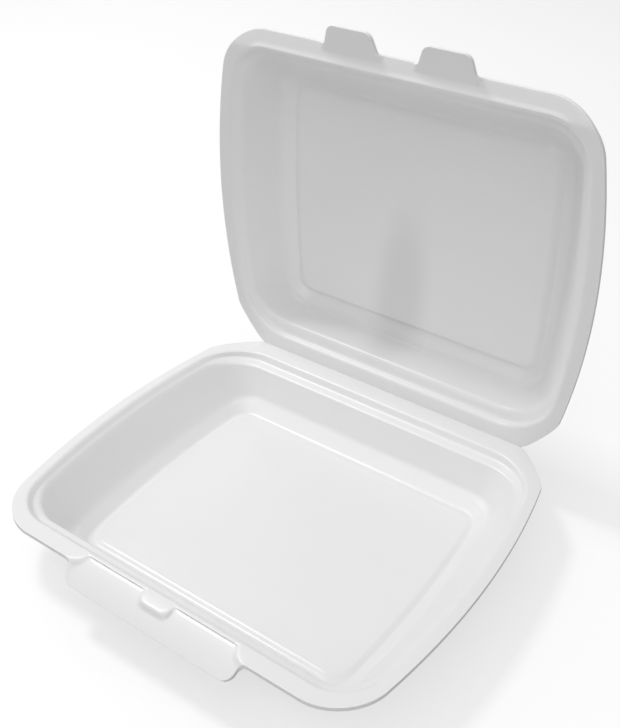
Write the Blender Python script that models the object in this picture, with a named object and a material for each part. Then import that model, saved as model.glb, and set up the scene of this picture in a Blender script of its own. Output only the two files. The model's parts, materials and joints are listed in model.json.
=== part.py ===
# Foam clamshell meal box, one sheet of foam formed with its lid. The box stands open.
# Lengths are in metres and angles in degrees. +Z is up and the box's front faces -Y.
# Plan points are (x, reach): x along the fold, reach measured from the fold towards the front.

import math

import bmesh
import bpy
from mathutils import Vector

# Sheet and fold
SHEET = 0.0023            # thickness of the foam
FOLD_GAP = 0.0003         # what is left between base and lid at the fold, and between the closed rims
FOLD_THINNING = 0.42      # share of the sheet's thickness left at the pressed fold line
FOLD_HALF_LENGTH = 0.0893
LID_OPENING = 89.0        # angle between lid and base

# Rim outline of the base
REACH = 0.202             # from the fold to the front edge
REAR_HALF_WIDTH = 0.1113  # half the width where the rear corners end
REAR_CORNER_REACH = 0.018
FRONT_HALF_WIDTH = 0.1076
SIDE_BOW = 0.0105         # how far a side bulges beyond the line between its corners
REAR_CORNER_RUN = 0.024   # how far along the side a rear corner reaches
FRONT_CORNER_RUN = 0.0236

# Rim outline of the lid, a little narrower than the base's
LID_REAR_HALF_WIDTH = 0.1068
LID_FRONT_HALF_WIDTH = 0.1046
LID_SIDE_BOW = 0.0111

# Base section, from the rim inwards: widths on the hinge side, on the other sides and in front
FLANGE_HINGE = 0.0114
FLANGE_SIDE = 0.0056
FLANGE_FRONT = 0.0090
STEP_HINGE = 0.0014
STEP_SIDE = 0.0012
STEP_FRONT = 0.0026
LEDGE_HINGE = 0.0058
LEDGE_SIDE = 0.0026
LEDGE_FRONT = 0.0048
WALL_HINGE = 0.0032
WALL_SIDE = 0.0140
WALL_FRONT = 0.0060
LOWER_LEDGE_HINGE = 0.0030
LOWER_LEDGE_SIDE = 0.0026
LOWER_LEDGE_FRONT = 0.0045
LOWER_STEP_HINGE = 0.0040
LOWER_STEP_SIDE = 0.0044
LOWER_STEP_FRONT = 0.0042
CHANNEL_HINGE = 0.0036    # flat ring that the box stands on
CHANNEL_SIDE = 0.0010
CHANNEL_FRONT = 0.0038
PANEL_EDGE = 0.0026       # slope up to the raised panel
WELL_DEPTH = 0.0323
PANEL_BOW = 0.0074

# Lid section, in the same order
LID_FLANGE_HINGE = 0.0092
LID_FLANGE_SIDE = 0.0062
LID_FLANGE_FRONT = 0.0106
LID_STEP_HINGE = 0.0010
LID_STEP_SIDE = 0.0012
LID_STEP_FRONT = 0.0020
LID_LEDGE_HINGE = 0.0062
LID_LEDGE_SIDE = 0.0032
LID_LEDGE_FRONT = 0.0040
LID_WALL_HINGE = 0.0026
LID_WALL_SIDE = 0.0094
LID_WALL_FRONT = 0.0138
LID_LOWER_LEDGE_HINGE = 0.0042
LID_LOWER_LEDGE_SIDE = 0.0024
LID_LOWER_LEDGE_FRONT = 0.0026
LID_LOWER_STEP_HINGE = 0.0044
LID_LOWER_STEP_SIDE = 0.0032
LID_LOWER_STEP_FRONT = 0.0032
LID_CHANNEL = 0.0012
LID_DEPTH = 0.0300
LID_PANEL_BOW = 0.0035

# Depths that both sections share
STEP_DEPTH = 0.0042
LEDGE_DROP = 0.0010       # the ledges fall a little towards the well
LOWER_LEDGE_DROP = 0.0010
LOWER_STEP_DEPTH = 0.0038
PANEL_RISE = 0.0012       # the floor inside the channel is raised

# Corners of the sections, as the run that each corner takes along hinge side, side and front
RIM_CORNER = (0.028, 0.026, 0.020)
LEDGE_CORNER = (0.024, 0.022, 0.018)
WALL_CORNER = (0.014, 0.014, 0.013)
PANEL_CORNER = (0.009, 0.009, 0.009)
CREASE = 0.0011           # run of the rounding on each side of a crease
CREASE_SHARE = 0.32       # the most of a narrow face that the rounding may take
TINY = 0.0001             # tolerance when places are compared

# Slots and locking flap on the base's front
SLOT_INNER_END = 0.0101   # from the middle plane
SLOT_OUTER_END = 0.0452
SLOT_WIDTH = 0.0009       # seen from above; the flap's edge lies lower than the land's
SLOT_LAND = 0.0018        # strip of flange left between a slot and the step
LOBE_EASE = 0.0018        # run of the slope at each side of a lobe
FLAP_HALF_WIDTH = 0.0525
FLAP_REACH = 0.0078       # how far the flap stands out in front of the rim
FLAP_DROP = 0.0084        # how far it goes down
FLAP_CORNER = 0.0052
FLAP_CORNER_ASPECT = 1.2  # width of a rounded corner over its height
FLAP_ROOT = 0.0026        # radius of the hollow where the flap's end meets the rim
FLAP_END_TAPER = 0.0008
RAMP_START = 0.0015       # drop of the flap's surface at a slot's outer edge
LOBE_ROLL = 0.0006        # drop of a lobe at the rim's edge
FLAP_ROWS = (0.1, 0.3, 0.55, 0.75, 0.9, 1.0)   # where the rows of its faces end

# Locking tabs on the lid's front
TAB_INNER = 0.0117        # from the middle plane, at the root
TAB_OUTER = 0.0430
TAB_TIP_INNER = 0.0154
TAB_TIP_OUTER = 0.0401
TAB_REACH = 0.0108
TAB_BEND = 0.0042         # the tab bends this far inside the rim's edge
TAB_LEAN = 8.0            # angle that it bends towards the base
TAB_CORNER = 0.0034
TAB_FILLET = 0.0014
TAB_TIP_TRIM = 0.06       # share of the width that the tip's last rounding takes at each end
TAB_CORNER_TURNS = (30, 55, 75)                     # angles at which a rounded corner is divided
TAB_COLUMNS = (0.0, 0.12, 0.35, 0.65, 0.88, 1.0)    # shares of the width where faces meet

# Number of parts that each stretch of a half outline is divided into
HINGE_PARTS = 4
REAR_CORNER_PARTS = 6
SIDE_PARTS = 8
FRONT_CORNER_PARTS = 7
OUTER_FRONT_PARTS = 3
SLOT_PARTS = 4

RIM_ROUNDNESS = 0.20      # rear corners of the rim are nearly straight chamfers
CORNER_ROUNDNESS = 0.55   # every other corner is close to an arc

SHARP_ANGLE = 50.0        # edges that turn by more than this are cut edges and are shaded sharp

FOAM_COLOUR = (0.90, 0.90, 0.90, 1.0)
FOAM_ROUGHNESS = 0.62


def mix(a, b, share):
    """The value or tuple that lies the given share of the way from a to b."""
    if isinstance(a, tuple):
        return tuple(mix(p, q, share) for p, q in zip(a, b))
    return a + (b - a) * share


class Plan:
    """Outline of a rim in plan, from which each ring of a section is inset."""

    def __init__(self, rear_half_width, front_half_width, bow):
        self.rear_half_width = rear_half_width
        self.front_half_width = front_half_width
        self.bow = bow

    def side_x(self, reach, inset, bow):
        along = (reach - REAR_CORNER_REACH) / (REACH - REAR_CORNER_REACH)
        chord = mix(self.rear_half_width, self.front_half_width, along)
        return chord - inset + bow * 4 * along * (1 - along)

    def half_ring(self, ring, columns):
        """Plan points of one half ring, from the middle of the fold to the middle of the front."""
        inset_hinge, inset_side, inset_front = ring["inset"]
        run_hinge, run_side, run_front = ring["corner"]
        roundness = ring["rear_roundness"]
        rear = inset_hinge
        front = REACH - inset_front

        def side_point(reach):
            return (self.side_x(reach, inset_side, ring["bow"]), reach)

        fold_end = (side_point(rear)[0] - run_hinge, rear)
        side_start = side_point(rear + run_side)
        side_end = side_point(front - run_front)
        front_start = (side_point(front)[0] - run_front, front)

        points = [mix((0.0, rear), fold_end, i / HINGE_PARTS) for i in range(HINGE_PARTS)]
        points += corner(fold_end, side_point(rear), side_start, roundness, REAR_CORNER_PARTS)
        for i in range(SIDE_PARTS):
            points.append(side_point(mix(side_start[1], side_end[1], i / SIDE_PARTS)))
        points += corner(side_end, side_point(front), front_start, CORNER_ROUNDNESS, FRONT_CORNER_PARTS)
        outermost = (columns[0], front)
        points += [mix(front_start, outermost, i / OUTER_FRONT_PARTS) for i in range(OUTER_FRONT_PARTS)]
        points += [(x, front) for x in columns]
        return points


def corner(start, apex, end, roundness, parts):
    """Points of a cubic curve from start to end, which its apex pulls outwards. The end is left out."""
    pull_start = mix(start, apex, roundness)
    pull_end = mix(end, apex, roundness)
    points = []
    for i in range(parts):
        t = i / parts
        weights = ((1 - t) ** 3, 3 * (1 - t) ** 2 * t, 3 * (1 - t) * t ** 2, t ** 3)
        knots = (start, pull_start, pull_end, end)
        points.append(tuple(sum(w * k[axis] for w, k in zip(weights, knots)) for axis in (0, 1)))
    return points


def ring_spec(inset, depth, corner_runs, bow, rear_roundness=CORNER_ROUNDNESS):
    return {"inset": inset, "depth": depth, "corner": corner_runs, "bow": bow,
            "rear_roundness": rear_roundness}


def mix_rings(a, b, share):
    return {key: mix(a[key], b[key], share) for key in a}


def crease_length(a, b):
    """Shortest distance between two rings, over hinge side, side and front."""
    drop = b["depth"] - a["depth"]
    return min(math.hypot(q - p, drop) for p, q in zip(a["inset"], b["inset"]))


def soften(rings, first):
    """Rounds every crease after the first ones by cutting it off with two rings."""
    result = rings[:first]
    for before, ring, after in zip(rings[first - 1:], rings[first:], rings[first + 1:]):
        back = min(CREASE / crease_length(ring, before), CREASE_SHARE)
        ahead = min(CREASE / crease_length(ring, after), CREASE_SHARE)
        result += [mix_rings(ring, before, back), mix_rings(ring, after, ahead)]
    return result + [rings[-1]]


def inset_steps(*widths):
    """Insets of a section's creases on one side of the box, from the rim to the raised panel."""
    insets = [widths[0]]
    for width in widths[1:]:
        insets.append(insets[-1] + width)
    return insets


def below(sides, depths):
    """The creases of the sheet's other face, a thickness away: their insets on each side, and depths.

    Each crease lies where the moved faces beside it meet. That depth differs a little from side to
    side of the box, so its mean is taken and the crease slides along the steeper face to it.
    """
    corners = []
    for insets in sides:
        runs = zip(insets, insets[1:], depths, depths[1:])
        slopes = [0.0] + [math.atan2(low - high, foot - top) for top, foot, high, low in runs] + [0.0]
        line = []
        for inset, depth, before, after in zip(insets, depths, slopes, slopes[1:]):
            length = SHEET / math.cos((before - after) / 2)
            middle = (before + after) / 2
            steeper = max(before, after, key=abs)
            line.append((inset - length * math.sin(middle), depth + length * math.cos(middle), steeper))
        corners.append(line)
    lower_depths = [sum(line[k][1] for line in corners) / len(corners) for k in range(len(depths))]
    lower_sides = []
    for line in corners:
        lower_sides.append([inset + (level - depth) / math.tan(steeper)
                            for (inset, depth, steeper), level in zip(line, lower_depths)])
    return lower_sides, lower_depths


def section(plan, sides, well_depth, panel_bow, rim_insets):
    """Rings of a dish's upper and lower face: the rings on its flat flange, then those of its creases.

    rim_insets are the insets of the flange's rings at the front. On the other sides they keep the
    same share of the flange.
    """
    ledge_end = STEP_DEPTH + LEDGE_DROP
    step_top = well_depth - LOWER_STEP_DEPTH
    depths = [0.0, STEP_DEPTH, ledge_end, step_top - LOWER_LEDGE_DROP, step_top,
              well_depth, well_depth, well_depth - PANEL_RISE]
    corners = (RIM_CORNER, LEDGE_CORNER, LEDGE_CORNER, WALL_CORNER, WALL_CORNER,
               PANEL_CORNER, PANEL_CORNER, PANEL_CORNER)
    fold_run = plan.side_x(0.0, 0.0, plan.bow) - FOLD_HALF_LENGTH
    rim_corner = (fold_run, REAR_CORNER_RUN, FRONT_CORNER_RUN)
    faces = []
    for used, levels in ((sides, depths), below(sides, depths)):
        flange = tuple(insets[0] for insets in used)
        rim = ring_spec((0.0, 0.0, 0.0), levels[0], rim_corner, plan.bow, RIM_ROUNDNESS)
        inner = ring_spec(flange, levels[0], RIM_CORNER, plan.bow)
        rings = [rim]
        for inset in rim_insets:
            ring = mix_rings(rim, inner, inset / sides[2][0])
            ring["inset"] = ring["inset"][:2] + (inset,)
            rings.append(ring)
        widest = used[1][-1]
        for inset, depth, runs in zip(zip(*used), levels, corners):
            bow = mix(plan.bow, panel_bow, inset[1] / widest)
            rings.append(ring_spec(inset, depth, runs, bow))
        faces.append(soften(rings, 1 + len(rim_insets)))
    return faces


def closed_loop(plan, ring, columns):
    """All points (x, reach, depth) of a ring, from the middle of the fold round to it again."""
    half = [point + (ring["depth"],) for point in plan.half_ring(ring, columns)]
    return half + [(-x, reach, depth) for x, reach, depth in half[-2:0:-1]]


def build_sheet(name, side, upper_loops, lower_loops, openings, rows_in_front):
    """Object of a formed sheet, from matching loops of points on its upper and its lower face.

    side is -1 for the base and +1 for the lid. openings holds the (loop, point) pairs whose face is
    left out, and rows_in_front the rows of points that carry the rim's front edge further, each as
    the index where its stretch of the rim starts, its upper rows and its lower rows.
    """
    count = len(upper_loops[0])
    faces = []
    for loop in range(len(upper_loops) - 1):
        for i in range(count):
            if (loop, i) not in openings:
                j = (i + 1) % count
                outer, inner = loop * count, (loop + 1) * count
                faces.append((outer + i, outer + j, inner + j, inner + i))
    faces.append(tuple(range((len(upper_loops) - 1) * count, len(upper_loops) * count)))
    upper = [point for loop in upper_loops for point in loop]
    lower = [point for loop in lower_loops for point in loop]
    for start, upper_rows, lower_rows in rows_in_front:
        previous = start
        for upper_row, lower_row in zip(upper_rows, lower_rows):
            current = len(upper)
            upper += upper_row
            lower += lower_row
            for i in range(len(upper_row) - 1):
                faces.append((current + i, current + i + 1, previous + i + 1, previous + i))
            previous = current

    # The lower face repeats the upper one, and a strip along every free edge joins the two
    size = len(upper)
    directed = {(a, b) for face in faces for a, b in zip(face, face[1:] + face[:1])}
    edges = [(b, a, a + size, b + size) for a, b in directed if (b, a) not in directed]
    other = [tuple(index + size for index in reversed(face)) for face in faces]
    half_gap = FOLD_GAP / 2
    places = [(x, side * (half_gap + reach), -half_gap - depth) for x, reach, depth in upper + lower]

    mesh = bpy.data.meshes.new(name)
    mesh.from_pydata(places, [], faces + other + sorted(edges))
    solid = bmesh.new()
    solid.from_mesh(mesh)
    bmesh.ops.recalc_face_normals(solid, faces=solid.faces)
    solid.to_mesh(mesh)
    solid.free()
    return bpy.data.objects.new(name, mesh)


def thin_fold(point):
    """The lower face rises towards the pressed fold line."""
    x, reach, depth = point
    return (x, reach, depth - SHEET * (1 - FOLD_THINNING)) if reach < TINY else point


def slot_share(x):
    """1 in a slot's stretch of the front, 0 on a lobe, with a slope between them."""
    rise = (abs(x) - (SLOT_INNER_END - LOBE_EASE)) / LOBE_EASE
    fall = (SLOT_OUTER_END + LOBE_EASE - abs(x)) / LOBE_EASE
    return max(0.0, min(1.0, rise, fall))


def flap_depth(x, reach):
    """Depth of the front's upper face: flat lobes that roll over, and ramps down from the slots."""
    end = REACH + FLAP_REACH
    slot_edge = REACH - FLANGE_FRONT + SLOT_LAND + SLOT_WIDTH
    if reach < slot_edge - TINY:
        return 0.0
    ramp = mix(RAMP_START, FLAP_DROP, (reach - slot_edge) / (end - slot_edge))
    if reach <= REACH:
        lobe = LOBE_ROLL * (reach - slot_edge) / (REACH - slot_edge)
    else:
        lobe = mix(LOBE_ROLL, FLAP_DROP, (reach - REACH) / FLAP_REACH)
    return mix(lobe, ramp, slot_share(x))


def under_flap(x, reach):
    """Point on the front's lower face. Cuts are upright on the rim and square on the flap's edge."""
    if reach <= REACH:
        return (x, reach, flap_depth(x, reach) + SHEET)
    grade = (flap_depth(x, reach) - flap_depth(x, reach - TINY)) / TINY
    slope = math.atan(grade)
    square = min(1.0, (reach - REACH) / FLAP_REACH)
    upright = SHEET / math.cos(slope)
    drop = mix(upright, SHEET * math.cos(slope), square)
    return (x, reach - SHEET * math.sin(slope) * square, flap_depth(x, reach) + drop)


def flap_half_width(share):
    """Half the flap's width at a share of its way from the rim's edge to its own edge."""
    into_corner = max(0.0, 1 - (1 - share) * FLAP_REACH / FLAP_CORNER)
    cut = FLAP_CORNER * (1 - math.sqrt(1 - into_corner ** 2)) * FLAP_CORNER_ASPECT
    into_root = max(0.0, 1 - share * FLAP_REACH / FLAP_ROOT)
    hollow = FLAP_ROOT * (1 - math.sqrt(1 - into_root ** 2))
    return FLAP_HALF_WIDTH + hollow - cut - FLAP_END_TAPER * share


def flap_rows(columns):
    """Rows of upper points from the rim's edge down the flap."""
    across = columns + [-x for x in columns[-2::-1]]
    outermost, lobe_side = columns[0], columns[2]
    rows = []
    for share in FLAP_ROWS:
        half_width = flap_half_width(share)
        inner = min(lobe_side, half_width * lobe_side / outermost)
        row = []
        for x in across:
            if abs(x) <= lobe_side:
                across_x = abs(x) * inner / lobe_side
            else:
                across_x = mix(inner, half_width, (abs(x) - lobe_side) / (outermost - lobe_side))
            row.append((math.copysign(across_x, x), REACH + FLAP_REACH * share))
        rows.append(row)
    return rows


def make_base():
    plan = Plan(REAR_HALF_WIDTH, FRONT_HALF_WIDTH, SIDE_BOW)
    sides = (inset_steps(FLANGE_HINGE, STEP_HINGE, LEDGE_HINGE, WALL_HINGE, LOWER_LEDGE_HINGE,
                         LOWER_STEP_HINGE, CHANNEL_HINGE, PANEL_EDGE),
             inset_steps(FLANGE_SIDE, STEP_SIDE, LEDGE_SIDE, WALL_SIDE, LOWER_LEDGE_SIDE,
                         LOWER_STEP_SIDE, CHANNEL_SIDE, PANEL_EDGE),
             inset_steps(FLANGE_FRONT, STEP_FRONT, LEDGE_FRONT, WALL_FRONT, LOWER_LEDGE_FRONT,
                         LOWER_STEP_FRONT, CHANNEL_FRONT, PANEL_EDGE))
    slot_insets = (FLANGE_FRONT - SLOT_LAND - SLOT_WIDTH, FLANGE_FRONT - SLOT_LAND)
    upper, lower = section(plan, sides, WELL_DEPTH, PANEL_BOW, slot_insets)

    lobe_ease_end = SLOT_OUTER_END + LOBE_EASE
    flap_root = flap_half_width(0.0)
    columns = [flap_root, (flap_root + lobe_ease_end) / 2, lobe_ease_end]
    columns += [mix(SLOT_OUTER_END, SLOT_INNER_END, i / SLOT_PARTS) for i in range(SLOT_PARTS + 1)]
    columns += [SLOT_INNER_END - LOBE_EASE, (SLOT_INNER_END - LOBE_EASE) / 2, 0.0]

    def on_front(point):
        return abs(point[0]) < flap_root + TINY and point[1] > REACH - FLANGE_FRONT + SLOT_LAND / 2

    upper_loops = []
    lower_loops = []
    for number, (ring, under) in enumerate(zip(upper, lower)):
        over_points = closed_loop(plan, ring, columns)
        under_points = [thin_fold(point) for point in closed_loop(plan, under, columns)]
        if number <= len(slot_insets):
            for i, (x, reach, depth) in enumerate(over_points):
                if on_front((x, reach)):
                    over_points[i] = (x, reach, flap_depth(x, reach))
                    under_points[i] = under_flap(x, reach)
        upper_loops.append(over_points)
        lower_loops.append(under_points)

    count = len(upper_loops[0])
    first = count // 2 - len(columns) + 1
    openings = set()
    for i, x in enumerate(columns):
        if SLOT_INNER_END < x <= SLOT_OUTER_END:
            openings |= {(1, first + i), (1, count - first - i - 1)}

    rows = flap_rows(columns)
    over_rows = [[(x, reach, flap_depth(x, reach)) for x, reach in row] for row in rows]
    under_rows = [[under_flap(x, reach) for x, reach in row] for row in rows]
    return build_sheet("base", -1, upper_loops, lower_loops, openings, [(first, over_rows, under_rows)])


def tab_edges(reach):
    """Inner and outer x of a tab at a reach beyond the rim's edge, with its corners rounded."""
    share = reach / TAB_REACH
    inner = mix(TAB_INNER, TAB_TIP_INNER, share)
    outer = mix(TAB_OUTER, TAB_TIP_OUTER, share)
    into_corner = max(0.0, 1 - (TAB_REACH - reach) / TAB_CORNER)
    cut = TAB_CORNER * (1 - math.sqrt(1 - into_corner ** 2))
    into_root = max(0.0, 1 - reach / TAB_FILLET)
    spread = TAB_FILLET * (1 - math.sqrt(1 - into_root ** 2))
    return inner + cut - spread, outer - cut + spread


def tab_depth(reach):
    """Depth of a tab's upper face: it leans towards the base from its bend."""
    return -math.tan(math.radians(TAB_LEAN)) * (reach - (REACH - TAB_BEND))


def tab_rows(sign, shares):
    """Rows of upper points of one tab, from the rim's edge to its tip."""
    straight = TAB_REACH - TAB_CORNER
    turns = [straight + TAB_CORNER * math.sin(math.radians(angle)) for angle in TAB_CORNER_TURNS]
    rows = []
    for reach in [TAB_FILLET / 2, TAB_FILLET, straight] + turns:
        inner, outer = tab_edges(reach)
        rows.append([(sign * mix(outer, inner, share), REACH + reach) for share in shares])
    inner, outer = tab_edges(turns[-1])
    flat = [mix(TAB_TIP_TRIM, 1 - TAB_TIP_TRIM, share) for share in shares]
    rows.append([(sign * mix(outer, inner, share), REACH + TAB_REACH) for share in flat])
    return rows


def make_lid():
    plan = Plan(LID_REAR_HALF_WIDTH, LID_FRONT_HALF_WIDTH, LID_SIDE_BOW)
    sides = (inset_steps(LID_FLANGE_HINGE, LID_STEP_HINGE, LID_LEDGE_HINGE, LID_WALL_HINGE,
                         LID_LOWER_LEDGE_HINGE, LID_LOWER_STEP_HINGE, LID_CHANNEL, PANEL_EDGE),
             inset_steps(LID_FLANGE_SIDE, LID_STEP_SIDE, LID_LEDGE_SIDE, LID_WALL_SIDE,
                         LID_LOWER_LEDGE_SIDE, LID_LOWER_STEP_SIDE, LID_CHANNEL, PANEL_EDGE),
             inset_steps(LID_FLANGE_FRONT, LID_STEP_FRONT, LID_LEDGE_FRONT, LID_WALL_FRONT,
                         LID_LOWER_LEDGE_FRONT, LID_LOWER_STEP_FRONT, LID_CHANNEL, PANEL_EDGE))
    upper, lower = section(plan, sides, LID_DEPTH, LID_PANEL_BOW, (TAB_BEND,))

    root_inner, root_outer = tab_edges(0.0)
    tab_columns = [mix(root_outer, root_inner, share) for share in TAB_COLUMNS]
    columns = [root_outer + TAB_FILLET] + tab_columns
    columns += [root_inner - TAB_FILLET, (root_inner - TAB_FILLET) / 2, 0.0]

    def on_tab(point):
        beyond_bend = point[1] > REACH - TAB_BEND / 2
        return beyond_bend and root_inner - TINY < abs(point[0]) < root_outer + TINY

    upper_loops = []
    lower_loops = []
    for number, (ring, under) in enumerate(zip(upper, lower)):
        over_points = closed_loop(plan, ring, columns)
        under_points = [thin_fold(point) for point in closed_loop(plan, under, columns)]
        if number == 0:
            for i, (x, reach, depth) in enumerate(over_points):
                if on_tab((x, reach)):
                    over_points[i] = (x, reach, tab_depth(reach))
                    under_points[i] = (x, reach, tab_depth(reach) + SHEET)
        upper_loops.append(over_points)
        lower_loops.append(under_points)

    count = len(upper_loops[0])
    first = count // 2 - len(columns) + 2
    rows_in_front = []
    starts = (first, count - first - len(TAB_COLUMNS) + 1)
    for start, sign, order in zip(starts, (1, -1), (TAB_COLUMNS, TAB_COLUMNS[::-1])):
        rows = tab_rows(sign, order)
        over_rows = [[(x, reach, tab_depth(reach)) for x, reach in row] for row in rows]
        under_rows = [[(x, reach, depth + SHEET) for x, reach, depth in row] for row in over_rows]
        rows_in_front.append((start, over_rows, under_rows))
    return build_sheet("lid", 1, upper_loops, lower_loops, set(), rows_in_front)


def foam_material(name):
    material = bpy.data.materials.new(name)
    material.use_nodes = True
    shader = material.node_tree.nodes["Principled BSDF"]
    shader.inputs["Base Color"].default_value = FOAM_COLOUR
    shader.inputs["Roughness"].default_value = FOAM_ROUGHNESS
    shader.inputs["Metallic"].default_value = 0.0
    return material


def world_bounds(parts):
    """Lowest and highest corner of the finished parts."""
    graph = bpy.context.evaluated_depsgraph_get()
    corners = []
    for part in parts:
        finished = part.evaluated_get(graph)
        corners += [finished.matrix_world @ vertex.co for vertex in finished.data.vertices]
    low = Vector([min(c[axis] for c in corners) for axis in range(3)])
    high = Vector([max(c[axis] for c in corners) for axis in range(3)])
    return low, high


def main():
    for old in list(bpy.data.objects):
        bpy.data.objects.remove(old, do_unlink=True)
    collection = bpy.data.collections.new("foam_clamshell_box")
    bpy.context.scene.collection.children.link(collection)

    fold = bpy.data.objects.new("fold_axis", None)
    collection.objects.link(fold)
    parts = [make_base(), make_lid()]
    for part in parts:
        collection.objects.link(part)
        part.parent = fold
        part.data.shade_smooth()
        part.data.set_sharp_from_angle(angle=math.radians(SHARP_ANGLE))
        part.data.materials.append(foam_material(part.name + "_foam"))
    # Flat open, the lid lies beyond the fold; shut, it has turned by half a turn about X
    parts[1].rotation_euler = (math.radians(180 - LID_OPENING), 0.0, 0.0)

    # The origin is under the middle of the open box, on the surface that it stands on
    bpy.context.view_layer.update()
    low, high = world_bounds(parts)
    fold.location = (0.0, -(low.y + high.y) / 2, -low.z)
    bpy.context.view_layer.update()


main()
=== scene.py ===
# Foam clamshell meal box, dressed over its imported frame.
# Lengths are in metres and angles in degrees. The box's front faces -Y and +Z is up.
import json
import math
import bmesh
import bpy
import numpy as np
from mathutils import Matrix, Vector, noise


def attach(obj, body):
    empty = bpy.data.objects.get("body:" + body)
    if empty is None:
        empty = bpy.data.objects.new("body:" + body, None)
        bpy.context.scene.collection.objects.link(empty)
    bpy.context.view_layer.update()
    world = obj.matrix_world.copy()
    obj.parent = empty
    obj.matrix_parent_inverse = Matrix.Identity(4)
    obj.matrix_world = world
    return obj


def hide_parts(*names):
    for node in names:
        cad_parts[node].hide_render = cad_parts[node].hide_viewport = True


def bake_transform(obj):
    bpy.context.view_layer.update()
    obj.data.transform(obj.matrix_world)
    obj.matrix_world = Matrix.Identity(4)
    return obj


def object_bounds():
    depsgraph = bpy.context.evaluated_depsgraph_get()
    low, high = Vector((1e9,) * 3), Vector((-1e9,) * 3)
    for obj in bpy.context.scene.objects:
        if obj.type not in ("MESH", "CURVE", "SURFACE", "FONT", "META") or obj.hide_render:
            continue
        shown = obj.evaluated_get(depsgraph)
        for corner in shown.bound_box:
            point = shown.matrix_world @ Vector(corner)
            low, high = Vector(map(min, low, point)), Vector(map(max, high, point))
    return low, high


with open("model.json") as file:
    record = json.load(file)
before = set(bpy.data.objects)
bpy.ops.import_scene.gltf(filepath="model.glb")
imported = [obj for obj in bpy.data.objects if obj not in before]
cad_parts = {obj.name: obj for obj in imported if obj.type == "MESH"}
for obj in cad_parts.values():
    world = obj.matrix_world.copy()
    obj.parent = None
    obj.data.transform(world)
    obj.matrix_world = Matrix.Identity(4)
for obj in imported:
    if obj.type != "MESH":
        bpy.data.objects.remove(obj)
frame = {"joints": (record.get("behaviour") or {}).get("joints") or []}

cadLow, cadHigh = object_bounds()
foldY, foldZ = frame["joints"][0]["pos_m"][1:]
tolerance = 1e-6
print("frame loaded, box", [round(v, 4) for v in cadLow], [round(v, 4) for v in cadHigh])

# The sheet that base and lid are both formed from
sheet = {
    "thickness": 0.0023,
    "halfGap": 0.00015,        # from the fold axis to the rim plane
    "foldThickness": 0.00097,  # what the press leaves of the sheet at the fold line
    "thinRun": 0.0030,         # how far from the fold the sheet gets thinner
    "cutRound": 0.00018,       # rounding of every cut edge
    "innerRound": 0.0004,      # least rounding on the inside of a bend
    "waveHeight": 0.00009,     # slow unevenness of the formed sheet
    "waveMiddle": 0.5,
    "waveReach": 0.7,
    "waveLength": 0.045,
    "opening": 89.0,           # angle between lid and base in the photo
}

# Faces of a dish's section from the rim inwards. Each has a width on the hinge side, the sides and the front.
faceOrder = ("flange", "step", "ledge", "wall", "lowerLedge", "lowerStep", "channel", "panelEdge")

baseDish = {
    "reach": 0.202,
    "rearHalfWidth": 0.1113,
    "rearCornerReach": 0.018,
    "frontHalfWidth": 0.1076,
    "bow": 0.0105,
    "panelBow": 0.0074,
    "foldHalfLength": 0.0893,
    "rearCornerRun": 0.024,
    "frontCornerRun": 0.0236,
    "flange": (0.0114, 0.0056, 0.0090),
    "step": (0.0014, 0.0020, 0.0026),
    "ledge": (0.0058, 0.0018, 0.0048),
    "wall": (0.0032, 0.0140, 0.0060),
    "lowerLedge": (0.0030, 0.0026, 0.0045),
    "lowerStep": (0.0060, 0.0044, 0.0042),
    "channel": (0.0016, 0.0010, 0.0038),
    "panelEdge": (0.0026, 0.0026, 0.0026),
    "stepDepth": (0.0042, 0.0026, 0.0042),
    "ledgeDrop": (0.0010, 0.0012, 0.0010),
    "lowerLedgeDrop": (0.0024, 0.0024, 0.0012),
    "lowerStepDepth": (0.0044, 0.0038, 0.0038),
    "panelRise": (0.0012, 0.0012, 0.0012),
    "depth": 0.0323,
    "crown": 0.0021,           # how far the panel's middle stands above its edge
    "seed": 1.0,               # picks the sheet's unevenness
    "rounding": (              # run of the rounding beside each crease, in the same order
        (0.0014, 0.0022, 0.0012),
        (0.0012, 0.0016, 0.0014),
        (0.0012, 0.0034, 0.0018),
        (0.0016, 0.0040, 0.0024),
        (0.0018, 0.0022, 0.0020),
        (0.0012, 0.0016, 0.0016),
        (0.0008, 0.0005, 0.0008),
        (0.0009, 0.0009, 0.0009),
    ),
}

lidDish = dict(
    baseDish,
    rearHalfWidth=0.1068,
    frontHalfWidth=0.1046,
    bow=0.0111,
    panelBow=0.0035,
    flange=(0.0092, 0.0062, 0.0106),
    step=(0.0010, 0.0020, 0.0024),
    ledge=(0.0062, 0.0024, 0.0036),
    wall=(0.0026, 0.0094, 0.0138),
    lowerLedge=(0.0042, 0.0024, 0.0026),
    lowerStep=(0.0044, 0.0032, 0.0032),
    channel=(0.0012, 0.0012, 0.0012),
    stepDepth=(0.0042, 0.0022, 0.0030),
    ledgeDrop=(0.0010, 0.0020, 0.0020),
    lowerLedgeDrop=(0.0010, 0.0026, 0.0026),
    lowerStepDepth=(0.0038, 0.0030, 0.0030),
    panelRise=(0.0024, 0.0018, 0.0018),
    depth=0.0300,
    crown=-0.0014,             # the lid's panel bulges outwards
    frontDroop=0.0024,         # the flange in front falls away from the inside
    seed=7.0,
    rounding=(
        (0.0024, 0.0030, 0.0034),
        (0.0020, 0.0022, 0.0020),
        (0.0032, 0.0030, 0.0030),
        (0.0012, 0.0050, 0.0050),
        (0.0022, 0.0022, 0.0022),
        (0.0022, 0.0030, 0.0030),
        (0.0006, 0.0008, 0.0008),
        (0.0010, 0.0016, 0.0016),
    ),
)

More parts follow.
